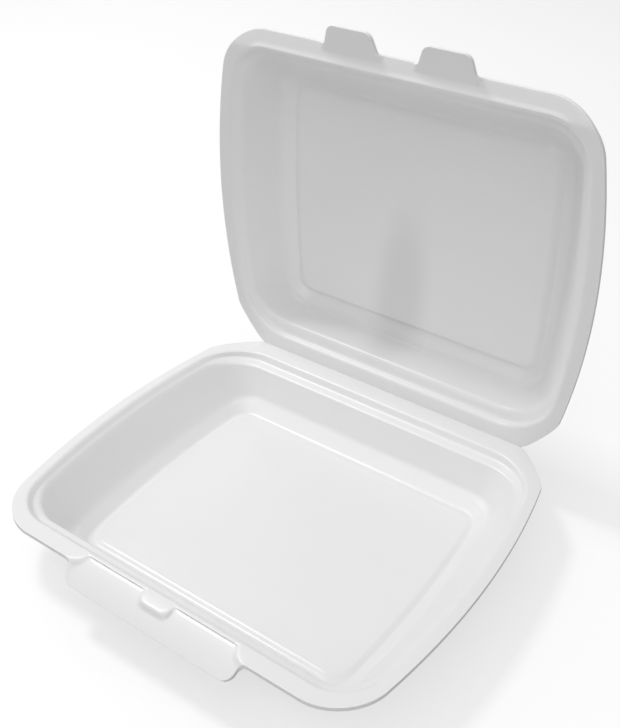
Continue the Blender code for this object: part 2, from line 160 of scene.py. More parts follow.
# Runs that each corner takes along hinge side, side and front, at each of the section's creases
cornerRuns = (
    (0.028, 0.026, 0.020),
    (0.024, 0.022, 0.018),
    (0.024, 0.022, 0.018),
    (0.014, 0.014, 0.013),
    (0.014, 0.014, 0.013),
    (0.009, 0.009, 0.009),
    (0.009, 0.009, 0.009),
    (0.009, 0.009, 0.009),
)
rearRimRoundness = 0.20   # rear corners of the rim are nearly straight chamfers
cornerRoundness = 0.55    # every other corner is close to an arc

# Number of parts that a half outline's stretches, a crease's rounding and a cut's rounding are divided into
fineness = {
    "hinge": 20,
    "rearCorner": 18,
    "side": 32,
    "frontCorner": 20,
    "outerFront": 10,
    "crease": 7,
    "cut": 3,
    "panel": (0.98, 0.94, 0.88, 0.8, 0.7, 0.6, 0.45, 0.3, 0.15, 0.05),   # sizes of the loops that fill it
}

# Limits that keep neighbouring roundings apart
limits = {
    "creaseShare": 0.96,      # share of a face that its two roundings may take
    "rimShare": 0.8,          # share of the last stretch to the rim that the first rounding may take
    "panelRun": 0.006,        # flat stretch that the panel's edge rounds into
    "mitre": 1.6,             # longest mitre at a corner of a cut edge
}

# Slots and locking flap in the base's front
front = {
    "rings": (0.0005, 0.0011, 0.0018, 0.0026, 0.0037, 0.0050, 0.0066, 0.0068),   # slots: between the last two
    "slotInnerEnd": 0.0101,
    "slotOuterEnd": 0.0452,
    "lobeEase": 0.0018,       # run of the rounded slope round a lobe
    "lobeEnd": 0.0002,        # the lobes' rounded ends reach this far beyond the rim's edge
    "middleCorner": 0.0042,
    "outerCorner": 0.0075,
    "flapHalfWidth": 0.0525,
    "flapReach": 0.0078,
    "flapDrop": 0.0084,
    "flapCorner": 0.0052,
    "cornerAspect": 1.2,
    "flapRoot": 0.0026,
    "endTaper": 0.0008,
    "rampStart": 0.0005,
    "rampAtRim": 0.0034,
    "lobeRoll": 0.0005,
    "endBlend": (0.0480, 0.0548),   # stretch in which the flap's ends rise to the rim's level
    "rowShares": (0.15, 0.3, 0.45, 0.6, 0.8, 1.0),   # rows of points down the flap's straight part
    "cornerTurns": (15, 30, 45, 58),
    "tipTurns": (70, 75, 80, 85, 90),
    "columnParts": (10, 7, 24, 7, 7),   # points across end, outer slope, slot, inner slope and middle lobe
}

# Locking tabs on the lid's front
tabs = {
    "rings": (0.0007, 0.0016, 0.0027, 0.0036, 0.0042, 0.0048, 0.0060, 0.0080),
    "inner": 0.0117,
    "outer": 0.0430,
    "tipInner": 0.0154,
    "tipOuter": 0.0401,
    "reach": 0.01074,
    "bend": 0.0042,
    "bendRound": 0.0010,
    "lean": 8.0,
    "corner": 0.0034,
    "fillet": 0.0014,
    "filletShares": (0.25, 0.5, 0.75, 1.0),
    "straightRows": 5,
    "cornerTurns": (16, 32, 46),
    "tipTurns": (58, 68, 79, 90),
    "beside": (0.003, 0.001),   # columns of points in the rim beside a tab's root
    "edgeShare": 0.12,          # share of a tab's width with closer columns at each edge
    "edgeColumns": 4,
    "innerColumns": 12,
    "betweenColumns": 9,        # from a tab's root to the middle of the rim
}


def smoothShare(low, high, value):
    t = np.clip((value - low) / (high - low), 0, 1)
    return t * t * (3 - 2 * t)


def sideX(dish, along, inset, bow):
    # Half width of the outline at a reach from the fold, with the side's bulge
    share = (along - dish["rearCornerReach"]) / (dish["reach"] - dish["rearCornerReach"])
    chord = dish["rearHalfWidth"] + (dish["frontHalfWidth"] - dish["rearHalfWidth"]) * share
    return chord - inset + bow * 4 * share * (1 - share)


def cubicCorner(start, apex, end, roundness, t):
    start, apex, end = (np.array(p, float) for p in (start, apex, end))
    pullStart = start + (apex - start) * roundness
    pullEnd = end + (apex - end) * roundness
    t = t[:, None]
    near = (1 - t) ** 3 * start + 3 * (1 - t) ** 2 * t * pullStart
    return near + 3 * (1 - t) * t ** 2 * pullEnd + t ** 3 * end


def shares(name):
    return np.arange(fineness[name]) / fineness[name]


def closedLoop(dish, ring, columns):
    # Points (x, reach, depth) of a ring from the middle of the fold round to it again
    inset, depth, run = ring["inset"], ring["depth"], ring["run"]
    rear, end = inset[0], dish["reach"] - inset[2]
    sideStart, sideEnd = rear + run[1], end - run[2]

    def onSide(along):
        return sideX(dish, along, inset[1], ring["bow"])

    foldEnd = onSide(rear) - run[0]
    frontStart = onSide(end) - run[2]
    t = shares("hinge")
    parts = [np.stack([foldEnd * t, np.full_like(t, rear)], 1)]
    parts.append(cubicCorner((foldEnd, rear), (onSide(rear), rear), (onSide(sideStart), sideStart),
                             ring["roundness"], shares("rearCorner")))
    along = sideStart + (sideEnd - sideStart) * shares("side")
    parts.append(np.stack([onSide(along), along], 1))
    parts.append(cubicCorner((onSide(sideEnd), sideEnd), (onSide(end), end), (frontStart, end),
                             cornerRoundness, shares("frontCorner")))
    t = shares("outerFront")
    parts.append(np.stack([frontStart + (columns[0] - frontStart) * t, np.full_like(t, end)], 1))
    parts.append(np.stack([columns, np.full_like(columns, end)], 1))
    rearTurn = smoothShare(0, 1, shares("rearCorner"))
    frontTurn = smoothShare(0, 1, shares("frontCorner"))
    levels = np.concatenate([
        np.full(fineness["hinge"], depth[0]), depth[0] + (depth[1] - depth[0]) * rearTurn,
        np.full(fineness["side"], depth[1]), depth[1] + (depth[2] - depth[1]) * frontTurn,
        np.full(fineness["outerFront"] + len(columns), depth[2])])
    half = np.hstack([np.vstack(parts), levels[:, None]])
    return np.vstack([half, half[-2:0:-1] * np.array([-1.0, 1.0, 1.0])])


def creaseLine(dish, side, lower):
    # Insets and depths of one side's creases on the upper or the lower face, and the run of their rounding
    inset = np.cumsum([dish[name][side] for name in faceOrder])
    deep = dish["depth"]
    shelf = deep - dish["lowerStepDepth"][side]
    step = dish["stepDepth"][side]
    depth = np.array([0.0, step, step + dish["ledgeDrop"][side], shelf - dish["lowerLedgeDrop"][side],
                      shelf, deep, deep, deep - dish["panelRise"][side]])
    slope = np.concatenate([[0.0], np.arctan2(np.diff(depth), np.diff(inset)), [0.0]])
    before, after = slope[:-1], slope[1:]
    run = np.array([row[side] for row in dish["rounding"]])
    if lower:
        length = sheet["thickness"] / np.cos((before - after) / 2)
        inset = inset - length * np.sin((before + after) / 2)
        depth = depth + length * np.cos((before + after) / 2)
        # The lower face's rounding is tighter where the upper face is on the outside of a bend
        run = np.maximum(sheet["innerRound"], run - sheet["thickness"] * np.tan((after - before) / 2))
    return inset, depth, run


def roundedLine(inset, depth, run, flangeEnd):
    # The creases of one side, each replaced with the points of its rounding
    line = np.stack([inset, depth], 1)
    line = np.vstack([[flangeEnd, depth[0]], line, [inset[-1] + limits["panelRun"], depth[-1]]])
    lengths = np.hypot(*np.diff(line, axis=0).T)
    back, ahead = run.copy(), run.copy()
    for k in range(len(run) - 1):
        share = min(1.0, limits["creaseShare"] * lengths[k + 1] / (ahead[k] + back[k + 1]))
        ahead[k] *= share
        back[k + 1] *= share
    back[0] = min(back[0], limits["rimShare"] * lengths[0])
    points = []
    for k in range(len(run)):
        here = line[k + 1]
        start = here + (line[k] - here) * back[k] / lengths[k]
        end = here + (line[k + 2] - here) * ahead[k] / lengths[k + 1]
        for t in np.linspace(0, 1, fineness["crease"]):
            points.append(start * (1 - t) ** 2 + here * 2 * t * (1 - t) + end * t ** 2)
    return np.array(points)


def sectionRings(dish, lower, rimInsets):
    # Rings of one face of the sheet, from the rim to the panel's edge
    sides = [creaseLine(dish, side, lower) for side in range(3)]
    flange = np.array([side[0][0] for side in sides])
    level = np.full(3, sides[0][1][0])
    foldRun = sideX(dish, 0.0, 0.0, dish["bow"]) - dish["foldHalfLength"]
    rimRun = np.array([foldRun, dish["rearCornerRun"], dish["frontCornerRun"]])
    rings = []
    for inset in (0.0, *rimInsets):
        share = inset / dish["flange"][2]
        place = flange * share
        place[2] = inset
        roundness = rearRimRoundness + (cornerRoundness - rearRimRoundness) * share
        rings.append({"inset": place, "depth": level, "run": rimRun + (cornerRuns[0] - rimRun) * share,
                      "bow": dish["bow"], "roundness": roundness})
    lines = [roundedLine(*side, rings[-1]["inset"][k]) for k, side in enumerate(sides)]
    knots = sides[1][0]
    runs = np.array(cornerRuns)
    for places in zip(*lines):
        inset = np.array([place[0] for place in places])
        run = np.array([np.interp(inset[1], knots, runs[:, k]) for k in range(3)])
        bow = dish["bow"] + (dish["panelBow"] - dish["bow"]) * min(1.0, inset[1] / knots[-1])
        rings.append({"inset": inset, "depth": np.array([place[1] for place in places]), "run": run,
                      "bow": bow, "roundness": cornerRoundness})
    return rings


def lobeShare(dish, x, reach):
    # 1 on the three lobes between and beside the slots, 0 on the flap, with rounded slopes round the lobes
    ease = front["lobeEase"]
    nearest = np.full(np.shape(x), 1.0)
    for aside, corner in ((np.abs(x) - (front["slotInnerEnd"] - ease / 2), front["middleCorner"]),
                          (front["slotOuterEnd"] + ease / 2 - np.abs(x), front["outerCorner"])):
        aside = aside + corner
        beyond = reach - (dish["reach"] + front["lobeEnd"] - corner)
        outside = np.hypot(np.maximum(aside, 0), np.maximum(beyond, 0))
        away = outside + np.minimum(np.maximum(aside, beyond), 0) - corner
        nearest = np.minimum(nearest, away)
    return 1 - smoothShare(-ease / 2, ease / 2, nearest)


def frontDepth(dish, x, reach):
    # Upper face of the base's front: flat lobes, and a surface that curves down to the flap's edge
    slotEdge = dish["reach"] - front["rings"][-2]
    toRim, toEnd = dish["reach"] - slotEdge, dish["reach"] + front["flapReach"] - slotEdge
    rise, fall = front["rampAtRim"] - front["rampStart"], front["flapDrop"] - front["rampStart"]
    curve = (fall / toEnd - rise / toRim) / (toEnd - toRim)
    along = reach - slotEdge
    ramp = front["rampStart"] + (rise / toRim - curve * toRim) * along + curve * along ** 2
    lobe = front["lobeRoll"] * np.clip(along / toRim, 0, None) ** 2
    share = lobeShare(dish, x, reach)
    depth = lobe * share + ramp * (1 - share)
    end = front["flapDrop"] * np.clip((reach - dish["reach"]) / front["flapReach"], 0, None)
    atEnd = smoothShare(*front["endBlend"], np.abs(x))
    depth = depth * (1 - atEnd) + end * atEnd
    return np.where(reach < slotEdge - tolerance, 0.0, depth)


def underFront(dish, points):
    # Matching lower points: cuts are upright on the rim and square on the flap's edge
    x, reach, depth = points.T
    probe = 5e-5
    slope = np.arctan((frontDepth(dish, x, reach + probe) - frontDepth(dish, x, reach - probe)) / (2 * probe))
    past = np.clip((reach - dish["reach"]) / front["flapReach"], 0, 1)
    upright = np.where(past > 0, 1 / np.cos(slope), 1.0)
    drop = sheet["thickness"] * (upright * (1 - past) + np.cos(slope) * past)
    return np.stack([x, reach - sheet["thickness"] * np.sin(slope) * past, depth + drop], 1)


def flapHalfWidth(share):
    intoCorner = max(0.0, 1 - (1 - share) * front["flapReach"] / front["flapCorner"])
    cut = front["flapCorner"] * (1 - math.sqrt(max(0.0, 1 - intoCorner ** 2))) * front["cornerAspect"]
    intoRoot = max(0.0, 1 - share * front["flapReach"] / front["flapRoot"])
    hollow = front["flapRoot"] * (1 - math.sqrt(1 - intoRoot ** 2))
    return front["flapHalfWidth"] + hollow - cut - front["endTaper"] * share


def cornerReach(length, corner, angle):
    return length - corner * (1 - math.sin(math.radians(angle)))


def flapRows(dish, half, lobeSide):
    # Rows of plan points down the flap. Its last row bends along the rounded corners.
    length, corner = front["flapReach"], front["flapCorner"]
    straight = length - corner
    reaches = [straight * share for share in front["rowShares"]]
    reaches += [cornerReach(length, corner, angle) for angle in front["cornerTurns"]]
    inside = half <= lobeSide + tolerance
    rows = []
    for reach in reaches + [length]:
        width = flapHalfWidth(reach / length)
        inner = min(lobeSide, width * lobeSide / half[0])
        outside = inner + (width - inner) * (half - lobeSide) / (half[0] - lobeSide)
        x = np.where(inside, half * inner / lobeSide, outside)
        along = np.full_like(x, reach)
        if reach == length:
            tip = [cornerReach(length, corner, angle) for angle in front["tipTurns"]]
            x[:len(tip)] = [flapHalfWidth(t / length) for t in tip]
            along[:len(tip)] = tip
            rest = np.flatnonzero(~inside)[len(tip):]
            x[rest] = width + (inner - width) * (np.arange(len(rest)) + 1) / (len(rest) + 1)
        both = np.concatenate([x, -x[-2::-1]])
        rows.append(np.stack([both, dish["reach"] + np.concatenate([along, along[-2::-1]])], 1))
    return rows


def tabEdges(reach):
    share = reach / tabs["reach"]
    inner = tabs["inner"] + (tabs["tipInner"] - tabs["inner"]) * share
    outer = tabs["outer"] + (tabs["tipOuter"] - tabs["outer"]) * share
    intoCorner = max(0.0, 1 - (tabs["reach"] - reach) / tabs["corner"])
    cut = tabs["corner"] * (1 - math.sqrt(max(0.0, 1 - intoCorner ** 2)))
    intoRoot = max(0.0, 1 - reach / tabs["fillet"])
    spread = tabs["fillet"] * (1 - math.sqrt(1 - intoRoot ** 2))
    return inner + cut - spread, outer - cut + spread


def droop(dish, reach):
    # How far the lid's front flange has fallen away at a reach
    flange = dish["flange"][2]
    return dish["frontDroop"] * np.clip((reach - dish["reach"]) / flange + 1, 0, 1)


def tabDepth(dish, reach):
    # A tab leans towards the base from its bend, which is rounded
    bendLine, radius = dish["reach"] - tabs["bend"], tabs["bendRound"]
    past = reach - bendLine
    bend = np.where(past < radius, np.clip(past + radius, 0, None) ** 2 / (4 * radius), past)
    return droop(dish, np.minimum(reach, bendLine)) - math.tan(math.radians(tabs["lean"])) * bend


def tabRows(columns):
    # Rows of plan points of one tab, from its root to its tip, given as shares from the outer edge
    length, corner, fillet = tabs["reach"], tabs["corner"], tabs["fillet"]
    reaches = list(fillet * np.array(tabs["filletShares"]))
    reaches += list(np.linspace(fillet, length - corner, tabs["straightRows"] + 1)[1:])
    reaches += [cornerReach(length, corner, angle) for angle in tabs["cornerTurns"]]
    rows = []
    for reach in reaches:
        inner, outer = tabEdges(reach)
        rows.append(np.stack([outer + (inner - outer) * columns, np.full_like(columns, reach)], 1))
    tip = [cornerReach(length, corner, angle) for angle in tabs["tipTurns"]]
    edges = [tabEdges(reach) for reach in tip]
    turns = len(tip)
    between = np.linspace(edges[-1][1], edges[-1][0], len(columns) - 2 * turns + 2)[1:-1]
    x = np.concatenate([[outer for inner, outer in edges], between, [inner for inner, outer in edges[::-1]]])
    along = np.concatenate([tip, np.full(len(between), length), tip[::-1]])
    return rows + [np.stack([x, along], 1)]


def closedSheet(upper, lower, faces):
    # Joins two matching faces with a rounded strip along every free edge
    size = len(upper)
    owner = {(a, b): face for face in faces for a, b in zip(face, face[1:] + face[:1])}
    free = sorted(edge for edge in owner if edge[::-1] not in owner)
    middle = (upper + lower) / 2
    through = lower - upper
    through = through / np.linalg.norm(through, axis=1)[:, None]
    outward = {}
    for a, b in free:
        away = np.cross(middle[b] - middle[a], through[a])
        away /= np.linalg.norm(away)
        centre = middle[list(owner[a, b])].mean(0)
        if away @ ((middle[a] + middle[b]) / 2 - centre) < 0:
            away = -away
        outward.setdefault(a, []).append(away)
        outward.setdefault(b, []).append(away)
    radius = sheet["cutRound"]
    points = [upper.copy(), lower.copy()]
    rows = {}
    angles = np.radians(np.linspace(0, 90, fineness["cut"] + 1)[1:])
    total = 2 * size
    for a, aways in outward.items():
        away = sum(aways)
        away = away / max(np.linalg.norm(away), 1e-9)
        mitre = 1 / max(1 / limits["mitre"], away @ aways[0])
        away = away * mitre
        top, bottom = upper[a] - radius * away, lower[a] - radius * away
        points[0][a], points[1][a] = top, bottom
        arc = [top + radius * (away * math.sin(t) + through[a] * (1 - math.cos(t))) for t in angles]
        arc += [bottom + radius * (away * math.sin(t) - through[a] * (1 - math.cos(t))) for t in angles[::-1]]
        rows[a] = [a, *range(total, total + len(arc)), a + size]
        total += len(arc)
        points.append(np.array(arc))
    strips = []
    for a, b in free:
        for k in range(len(rows[a]) - 1):
            strips.append((rows[b][k], rows[a][k], rows[a][k + 1], rows[b][k + 1]))
    skin = faces + [tuple(index + size for index in reversed(face)) for face in faces]
    return np.vstack(points), skin, strips


def meshObject(name, places, faces):
    mesh = bpy.data.meshes.new(name)
    mesh.from_pydata(places, [], faces)
    solid = bmesh.new()
    solid.from_mesh(mesh)
    bmesh.ops.recalc_face_normals(solid, faces=solid.faces)
    solid.to_mesh(mesh)
    solid.free()
    mesh.shade_smooth()
    made = bpy.data.objects.new(name, mesh)
    bpy.context.scene.collection.objects.link(made)
    return made


def shellObject(name, side, points, skin, strips, seed):
    # Places a sheet at the fold; the strips along its cuts take the second material slot
    half = sheet["halfGap"]
    places = []
    for x, reach, depth in points:
        wave = noise.noise(Vector((x, reach, seed)) / sheet["waveLength"])
        depth -= sheet["waveHeight"] * min(1.0, max(0.0, sheet["waveMiddle"] + sheet["waveReach"] * wave))
        places.append((x, side * (half + reach), -half - depth))
    shell = meshObject(name, places, skin + strips)
    for polygon in shell.data.polygons[len(skin):]:
        polygon.material_index = 1
    return shell


def thinAtFold(loop):
    # The lower face rises towards the pressed fold line
    thin = sheet["thickness"] - sheet["foldThickness"]
    loop[:, 2] -= thin * (1 - smoothShare(0.0, sheet["thinRun"], loop[:, 1]))


def dishLoops(dish, rimInsets, columns, shapeFront):
    # Upper and lower loops of a dish, with its front's flange shaped and its panel filled in
    upper, lower = [], []
    pairs = zip(sectionRings(dish, False, rimInsets), sectionRings(dish, True, rimInsets))
    for number, (ring, under) in enumerate(pairs):
        over = closedLoop(dish, ring, columns)
        below = closedLoop(dish, under, columns)
        if number <= len(rimInsets):
            thinAtFold(below)
            shapeFront(over, below)
        upper.append(over)
        lower.append(below)
    for loops in (upper, lower):
        last = loops[-1]
        middle = np.array([0.0, (last[:, 1].min() + last[:, 1].max()) / 2, last[:, 2].mean()])
        for share in fineness["panel"]:
            loops.append(middle + (last - middle) * share - [0.0, 0.0, dish["crown"] * (1 - share ** 3)])
    return upper, lower


def loopFaces(count, loops, openings):
    faces = []
    for loop in range(loops - 1):
        for i in range(count):
            if (loop, i) not in openings:
                outer, inner, j = loop * count, (loop + 1) * count, (i + 1) % count
                faces.append((outer + i, outer + j, inner + j, inner + i))
    faces.append(tuple(range((loops - 1) * count, loops * count)))
    return faces


def addRows(points, faces, start, rows, under):
    # Continues the rim from index start with rows of upper points; under gives the lower ones
    upper, lower = points
    previous = start
    for row in rows:
        current = len(upper)
        upper = np.vstack([upper, row])
        lower = np.vstack([lower, under(row)])
        for i in range(len(row) - 1):
            faces.append((current + i, current + i + 1, previous + i + 1, previous + i))
        previous = current
    return upper, lower


def makeBase():
    dish = baseDish
    lobeSide = front["slotOuterEnd"] + front["lobeEase"]
    easeInner = front["slotInnerEnd"] - front["lobeEase"]
    marks = (flapHalfWidth(0.0), lobeSide, front["slotOuterEnd"], front["slotInnerEnd"], easeInner, 0.0)
    parts = zip(marks, marks[1:], front["columnParts"])
    columns = np.concatenate([*[np.linspace(*part)[:-1] for part in parts], [0.0]])
    slotMiddle = dish["reach"] - (front["rings"][-1] + dish["flange"][2]) / 2

    def shapeFront(over, below):
        on = (np.abs(over[:, 0]) < columns[0] + tolerance) & (over[:, 1] > slotMiddle)
        over[on, 2] = frontDepth(dish, over[on, 0], over[on, 1])
        below[on] = underFront(dish, over[on])

    upper, lower = dishLoops(dish, front["rings"], columns, shapeFront)
    count = len(upper[0])
    first = count // 2 - len(columns) + 1
    openings = set()
    slotLoop = len(front["rings"]) - 1
    for i, x in enumerate(columns):
        if front["slotInnerEnd"] + tolerance < x <= front["slotOuterEnd"] + tolerance:
            openings |= {(slotLoop, first + i), (slotLoop, count - first - i - 1)}
    faces = loopFaces(count, len(upper), openings)
    rows = []
    for row in flapRows(dish, columns, lobeSide):
        rows.append(np.column_stack([row, frontDepth(dish, row[:, 0], row[:, 1])]))
    points = np.vstack(upper), np.vstack(lower)
    points = addRows(points, faces, first, rows, lambda row: underFront(dish, row))
    return shellObject("baseShell", -1, *closedSheet(*points, faces), dish["seed"])


def makeLid():
    dish = lidDish
    rootInner, rootOuter = tabEdges(0.0)
    edge = tabs["edgeShare"]
    width = np.concatenate([np.linspace(0, edge, tabs["edgeColumns"])[:-1],
                            np.linspace(edge, 1 - edge, tabs["innerColumns"]),
                            np.linspace(1 - edge, 1, tabs["edgeColumns"])[1:]])
    beside = rootOuter + np.array(tabs["beside"])
    columns = np.concatenate([beside, rootOuter + (rootInner - rootOuter) * width,
                              np.linspace(rootInner, 0.0, tabs["betweenColumns"])[1:]])

    def shapeFront(over, below):
        for loop in (over, below):
            loop[:, 2] += droop(dish, loop[:, 1])
        wide = np.abs(over[:, 0])
        across = (wide > rootInner - tolerance) & (wide < rootOuter + tolerance)
        on = across & (over[:, 1] > dish["reach"] / 2)
        over[on, 2] = tabDepth(dish, over[on, 1])
        below[on, 2] = over[on, 2] + sheet["thickness"]

    upper, lower = dishLoops(dish, tabs["rings"], columns, shapeFront)
    count = len(upper[0])
    faces = loopFaces(count, len(upper), set())
    first = count // 2 - len(columns) + 1 + len(beside)
    points = np.vstack(upper), np.vstack(lower)
    drop = np.array([0.0, 0.0, sheet["thickness"]])
    for start, sign in ((first, 1), (count - first - len(width) + 1, -1)):
        rows = []
        for row in tabRows(width):
            plan = row[::sign] * np.array([sign, 1.0]) + np.array([0.0, dish["reach"]])
            rows.append(np.column_stack([plan, tabDepth(dish, plan[:, 1])]))
        points = addRows(points, faces, start, rows, lambda row: row + drop)
    return shellObject("lidShell", 1, *closedSheet(*points, faces), dish["seed"])


# Pressed strip of sheet that is left between base and lid
foldWeb = {
    "reachIn": 0.0005,        # how far it goes into base and lid
    "margin": 0.0001,         # how far its faces stay inside theirs
    "endMargin": 0.0003,
    "alongParts": 60,
    "turnParts": 8,
    "blendHalf": 0.0004,      # half the width in which it follows both
}


def makeFoldWeb():
    # A quarter round at the back of the fold
    reachIn, margin = foldWeb["reachIn"], foldWeb["margin"]
    outer, inner = sheet["halfGap"] + sheet["foldThickness"] - margin, sheet["halfGap"] + margin
    turn = math.radians(180 - sheet["opening"])
    sweep = np.linspace(0, turn, foldWeb["turnParts"] + 1)
    far = np.array([math.cos(turn), math.sin(turn)])
    low = np.array([math.sin(turn), -math.cos(turn)])
    ring = [(-reachIn, -outer)]
    ring += [(math.sin(a) * outer, -math.cos(a) * outer) for a in sweep]
    ring += [tuple(far * reachIn + low * outer), tuple(far * reachIn + low * inner)]
    ring += [(math.sin(a) * inner, -math.cos(a) * inner) for a in sweep[::-2]]
    ring.append((-reachIn, -inner))
    half = baseDish["foldHalfLength"] - foldWeb["endMargin"]
    along = np.linspace(-half, half, foldWeb["alongParts"] + 1)
    count = len(ring)
    places = [(x, foldY + y, foldZ + z) for x in along for y, z in ring]
    faces = []
    for k in range(len(along) - 1):
        for i in range(count):
            j = (i + 1) % count
            faces.append((k * count + i, k * count + j, (k + 1) * count + j, (k + 1) * count + i))
    faces.append(tuple(range(count)))
    faces.append(tuple(reversed(range((len(along) - 1) * count, len(along) * count))))
    return meshObject("foldWeb", places, faces)


# Painted shade on the lid's panel: a faint, soft darker patch in its colour
paintedShade = {
    "centre": (-0.008, 0.1172, 0.082),
    "radii": (0.025, 0.04, 0.084),
    "turn": 3.0,
    "inside": (0.1188, 0.1192),   # Y between the panel's two faces: the painted shade is on the inner one
    "softness": 0.85,             # share of the radius over which it fades
    "strength": 0.6,
    # grey that the painted shade mixes towards
    "colour": 0.68,
}

# Look of the foam: its skin and its cut edges
foam = {
    "skinColour": 0.860,
    "skinShade": 0.018,       # how much darker the skin's cells and clouds get
    "skinRoughness": (0.285, 0.345),
    "index": 1.59,            # refractive index of polystyrene
    "cellScale": 1500.0,      # cells a metre
    "cellUnevenness": 0.9,
    "grainScale": 0.35,       # against the cells
    "grainDetail": 4.0,
    "grainShare": 0.5,
    "cutCellScale": 1.3,      # against the skin's cells
    "cloudScale": 22.0,
    "cloudDetail": 3.0,
    "cloudRange": (0.25, 0.75),
    "cloudShare": 0.5,
    "bumpHeight": 0.0002,
    "skinBump": 0.10,
    "cutColour": 0.90,
    "cutShade": 0.05,
    "cutBump": 0.5,
    "cutRoughness": (0.75, 0.85),
}


def addPaintedShade(material, paintedShade):
    # Painted shade: a soft darker patch in the skin's colour, a stretched ball that fades outwards, on the
    # inner face alone
    nodes, links = material.node_tree.nodes, material.node_tree.links
    shader = nodes["Principled BSDF"]
    colour = shader.inputs["Base Color"].links[0].from_socket
    place = nodes.new("ShaderNodeTexCoord")
    fit = nodes.new("ShaderNodeMapping")
    fit.vector_type = "TEXTURE"
    fit.inputs["Location"].default_value = paintedShade["centre"]
    fit.inputs["Rotation"].default_value = (0.0, math.radians(paintedShade["turn"]), 0.0)
    fit.inputs["Scale"].default_value = paintedShade["radii"]
    links.new(place.outputs["Object"], fit.inputs["Vector"])
    ball = nodes.new("ShaderNodeTexGradient")
    ball.gradient_type = "SPHERICAL"
    links.new(fit.outputs["Vector"], ball.inputs["Vector"])
    edge = nodes.new("ShaderNodeMapRange")
    edge.interpolation_type = "SMOOTHERSTEP"
    edge.inputs["From Max"].default_value = paintedShade["softness"]
    edge.inputs["To Max"].default_value = paintedShade["strength"]
    links.new(ball.outputs["Fac"], edge.inputs["Value"])
    split = nodes.new("ShaderNodeSeparateXYZ")
    links.new(place.outputs["Object"], split.inputs[0])
    inner = nodes.new("ShaderNodeMapRange")
    inner.inputs["From Min"].default_value = paintedShade["inside"][1]
    inner.inputs["From Max"].default_value = paintedShade["inside"][0]
    links.new(split.outputs["Y"], inner.inputs["Value"])
    shadeMask = nodes.new("ShaderNodeMath")
    shadeMask.operation = "MULTIPLY"
    links.new(edge.outputs["Result"], shadeMask.inputs[0])
    links.new(inner.outputs["Result"], shadeMask.inputs[1])
    darker = nodes.new("ShaderNodeMix")
    darker.data_type = "RGBA"
    darker.inputs["B"].default_value = (*[paintedShade["colour"]] * 3, 1)
    links.new(shadeMask.outputs[0], darker.inputs["Factor"])
    links.new(colour, darker.inputs["A"])
    links.new(darker.outputs["Result"], shader.inputs["Base Color"])


def foamMaterial(name, colour, shade, roughness, bumpStrength, cellScale):
    material = bpy.data.materials.new(name)
    material.use_nodes = True
    nodes, links = material.node_tree.nodes, material.node_tree.links
    shader = nodes["Principled BSDF"]
    place = nodes.new("ShaderNodeTexCoord")
    cells = nodes.new("ShaderNodeTexVoronoi")
    cells.inputs["Scale"].default_value = cellScale
    cells.inputs["Randomness"].default_value = foam["cellUnevenness"]
    links.new(place.outputs["Object"], cells.inputs["Vector"])
    grain = nodes.new("ShaderNodeTexNoise")
    grain.inputs["Scale"].default_value = cellScale * foam["grainScale"]
    grain.inputs["Detail"].default_value = foam["grainDetail"]
    links.new(place.outputs["Object"], grain.inputs["Vector"])
    clouds = nodes.new("ShaderNodeTexNoise")
    clouds.inputs["Scale"].default_value = foam["cloudScale"]
    clouds.inputs["Detail"].default_value = foam["cloudDetail"]
    links.new(place.outputs["Object"], clouds.inputs["Vector"])
    blend = nodes.new("ShaderNodeMath")
    blend.operation = "MULTIPLY_ADD"
    blend.inputs[1].default_value = foam["grainShare"]
    links.new(grain.outputs["Fac"], blend.inputs[0])
    links.new(cells.outputs["Distance"], blend.inputs[2])
    tone = nodes.new("ShaderNodeMapRange")
    tone.inputs["From Min"].default_value = foam["cloudRange"][0]
    tone.inputs["From Max"].default_value = foam["cloudRange"][1]
    links.new(clouds.outputs["Fac"], tone.inputs["Value"])
    ramp = nodes.new("ShaderNodeValToRGB")
    ramp.color_ramp.elements[0].color = (*[colour - shade] * 3, 1)
    ramp.color_ramp.elements[1].color = (*[colour] * 3, 1)
    both = nodes.new("ShaderNodeMath")
    both.operation = "MULTIPLY_ADD"
    both.inputs[1].default_value = foam["cloudShare"]
    links.new(tone.outputs["Result"], both.inputs[0])
    links.new(blend.outputs[0], both.inputs[2])
    links.new(both.outputs[0], ramp.inputs["Fac"])
    links.new(ramp.outputs["Color"], shader.inputs["Base Color"])
    rough = nodes.new("ShaderNodeMapRange")
    rough.inputs["To Min"].default_value = roughness[0]
    rough.inputs["To Max"].default_value = roughness[1]
    links.new(clouds.outputs["Fac"], rough.inputs["Value"])
    links.new(rough.outputs["Result"], shader.inputs["Roughness"])
    bump = nodes.new("ShaderNodeBump")
    bump.inputs["Strength"].default_value = bumpStrength
    bump.inputs["Distance"].default_value = foam["bumpHeight"]
    links.new(blend.outputs[0], bump.inputs["Height"])
    links.new(bump.outputs["Normal"], shader.inputs["Normal"])
    shader.inputs["IOR"].default_value = foam["index"]
    return material


base = makeBase()
print("base made", len(base.data.polygons))
lid = makeLid()
print("lid made", len(lid.data.polygons))
web = makeFoldWeb()
skinFoam = foamMaterial("foamSkin", foam["skinColour"], foam["skinShade"], foam["skinRoughness"],
                        foam["skinBump"], foam["cellScale"])
cutFoam = foamMaterial("foamCut", foam["cutColour"], foam["cutShade"], foam["cutRoughness"],
                       foam["cutBump"], foam["cellScale"] * foam["cutCellScale"])
# The lid gets its own copy of the skin, which carries the painted shade
lidFoam = foamMaterial("foamLid", foam["skinColour"], foam["skinShade"], foam["skinRoughness"],
                       foam["skinBump"], foam["cellScale"])
addPaintedShade(lidFoam, paintedShade)
for shell, skin in ((base, skinFoam), (lid, lidFoam)):
    shell.data.materials.append(skin)
    shell.data.materials.append(cutFoam)
web.data.materials.append(skinFoam)

toFold = Matrix.Translation((0.0, foldY, foldZ))
base.data.transform(toFold)
lid.data.transform(toFold @ Matrix.Rotation(math.radians(180 - sheet["opening"]), 4, "X"))

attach(base, "base")
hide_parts("base")
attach(lid, "lid")
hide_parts("lid")
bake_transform(web)
print("shells placed")

